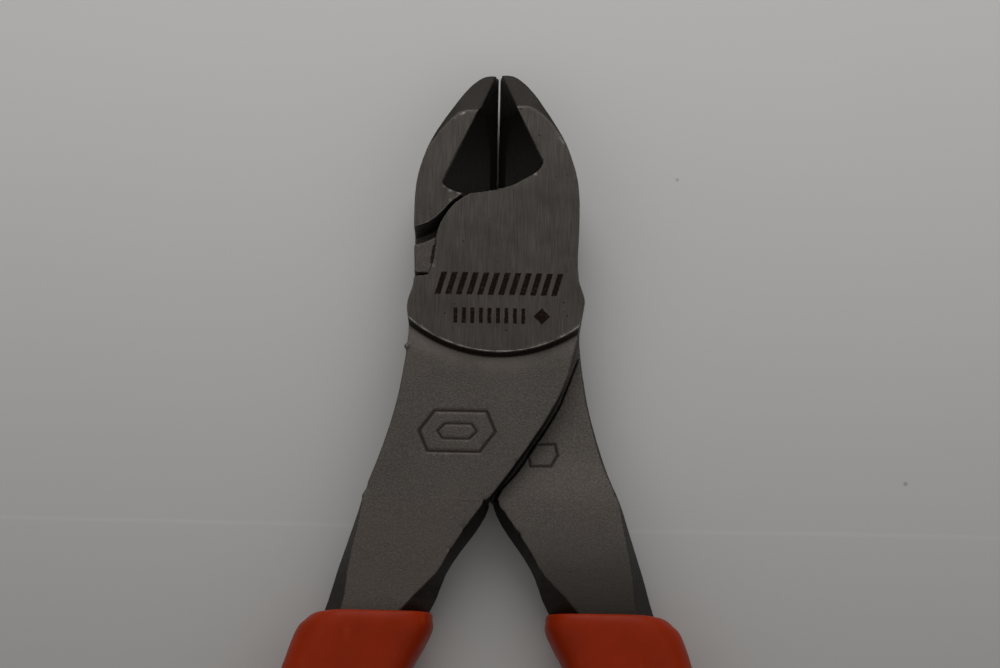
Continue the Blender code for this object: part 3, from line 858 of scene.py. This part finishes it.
def vinyl_material():
    """Satin dipped vinyl with faint mottling, dust and shallow dimples."""
    shader = Shader("grip_vinyl", 0.42, 0.0)
    shader.surface.inputs["Specular IOR Level"].default_value = 0.14
    shader.surface.inputs["Subsurface Weight"].default_value = 0.06
    shader.surface.inputs["Subsurface Radius"].default_value = (0.0012, 0.0003, 0.0001)
    mottle = shader.ramp(shader.noise(0.22, 4.0), 0.3, 0.7)
    colour = shader.mix(mottle, scaled(VINYL, 0.88), scaled(VINYL, 1.08))
    dust = shader.node("ShaderNodeTexVoronoi", {"Scale": 0.7 / MM}, {"Vector": shader.place})
    dust = shader.ramp(dust, 0.02, 0.07, 1.0, 0.0)
    rare = shader.ramp(shader.noise(0.5, 2.0), 0.58, 0.64)
    dust = shader.math("MULTIPLY", dust, rare)
    colour = shader.mix(shader.math("MULTIPLY", dust, 0.4), colour, VINYL_DUST)
    scuffs = shader.ramp(shader.noise(0.9, 5.0, (1.0, 0.4, 1.0)), 0.62, 0.74, 0.0, 0.22)
    colour = shader.mix(scuffs, colour, VINYL_WORN)
    shader.set("Base Color", colour)
    shader.set("Roughness", shader.ramp(shader.noise(0.6, 5.0), 0.3, 0.7, 0.36, 0.50))
    dimples = shader.noise(1.1, 4.0)
    pores = shader.noise(5.5, 2.0)
    height = shader.math("MULTIPLY_ADD", pores, 0.25, dimples)
    height = shader.math("ADD", height, dust)
    shader.set("Normal", shader.bump(height, 0.02, 0.5))
    return shader.material


def floor_material():
    """Pale paper with a faint tooth, a fold across it with a painted highlight, a few specks, and painted
    light falloff towards the handles.
    """
    shader = Shader("floor_paper", 0.75, 0.0)
    tone = shader.ramp(shader.noise(0.03, 4.0), 0.3, 0.7)
    paper = shader.mix(tone, scaled(FLOOR, 0.985), FLOOR)
    wander = shader.math("MULTIPLY", shader.math("SUBTRACT", shader.noise(0.02, 2.0), 0.5), 1.2)
    across = shader.math("ADD", shader.axis(1), wander)
    # painted highlight along the paper's fold
    fold = between(shader, across, FOLD_LOW_Y, FOLD_HIGH_Y, FOLD_SOFT)
    paper = shader.mix(fold, paper, scaled(FLOOR, 1.16))
    dust = shader.node("ShaderNodeTexVoronoi", {"Scale": 0.09 / MM}, {"Vector": shader.place})
    dust = shader.ramp(dust, 0.012, 0.03, 1.0, 0.0)
    rare = shader.ramp(shader.noise(0.05, 2.0), 0.5, 0.56)
    paper = shader.mix(shader.math("MULTIPLY", dust, rare), paper, scaled(FLOOR, 0.45))
    # painted light falloff: the paper's colour darkens towards the handles
    painted_falloff = shader.node(
        "ShaderNodeMapRange",
        {"interpolation_type": "SMOOTHSTEP", "From Min": FLOOR_NEAR, "From Max": FLOOR_FAR},
        {"Value": shader.axis(1)},
    )
    shader.set("Base Color", shader.mix(painted_falloff, scaled(FLOOR, FLOOR_FALLOFF_SHADE), paper))
    shader.set("Normal", shader.bump(shader.noise(2.5, 4.0), 0.02, 0.25))
    return shader.material


# ---------- stage ----------

def make_floor():
    half = FLOOR_HALF
    mesh = bpy.data.meshes.new("floor")
    corners = [(-half, -half, 0), (half, -half, 0), (half, half, 0), (-half, half, 0)]
    mesh.from_pydata(corners, [], [(0, 1, 2, 3)])
    floor = add_object("floor", mesh)
    floor.location = (0, 0, -FLOOR_DROP * MM)
    mesh.materials.append(floor_material())


def area_light(name, location, target, size, power, colour):
    data = bpy.data.lights.new(name, "AREA")
    data.shape = "DISK"
    data.size = size
    data.energy = power
    data.color = colour
    item = bpy.data.objects.new(name, data)
    bpy.context.scene.collection.objects.link(item)
    item.location = location
    item.rotation_mode = "QUATERNION"
    item.rotation_quaternion = (Vector(target) - Vector(location)).to_track_quat("-Z", "Y")
    item.visible_camera = False


def make_world():
    """A broad soft light overhead, a little dimmer at its middle, above a dark horizon."""
    world = bpy.data.worlds.new("world")
    world.use_nodes = True
    tree = world.node_tree
    background = tree.nodes["Background"]
    place = tree.nodes.new("ShaderNodeTexCoord")
    split = tree.nodes.new("ShaderNodeSeparateXYZ")
    tree.links.new(place.outputs["Generated"], split.inputs[0])
    ramp = tree.nodes.new("ShaderNodeValToRGB")
    tree.links.new(split.outputs[2], ramp.inputs[0])
    while len(ramp.color_ramp.elements) < len(SKY):
        ramp.color_ramp.elements.new(0.5)
    for element, (height, level) in zip(ramp.color_ramp.elements, SKY):
        element.position = height
        element.color = (*scaled(SKY_TINT, level), 1)
    tree.links.new(ramp.outputs[0], background.inputs["Color"])
    background.inputs["Strength"].default_value = SKY_STRENGTH
    bpy.context.scene.world = world


def make_lights():
    make_world()
    area_light("key", KEY_AT, KEY_TARGET, KEY_SIZE, KEY_POWER, KEY_COLOUR)


def make_camera():
    data = bpy.data.cameras.new("camera")
    data.lens = LENS
    data.sensor_width = SENSOR
    data.clip_start = CLIP_START
    camera = bpy.data.objects.new("camera", data)
    bpy.context.scene.collection.objects.link(camera)
    lean = Matrix.Rotation(TILT, 4, "X")
    roll = Matrix.Rotation(ROLL, 4, "Z")
    camera.matrix_world = Matrix.Translation(Vector(CAMERA_AT) * MM) @ lean @ roll
    bpy.context.scene.camera = camera


def main():
    bpy.context.scene.view_settings.view_transform = "Standard"
    steel = {
        "front_half": steel_material("front_steel", True),
        "rear_half": steel_material("rear_steel", False),
    }
    vinyl = vinyl_material()
    make_halves(steel)
    make_rivet(rivet_material())
    make_grip("left_grip_sleeve", "left_grip", "front_body", False, vinyl)
    make_grip("right_grip_sleeve", "right_grip", "rear_body", True, vinyl)
    make_floor()
    make_lights()
    make_camera()


main()
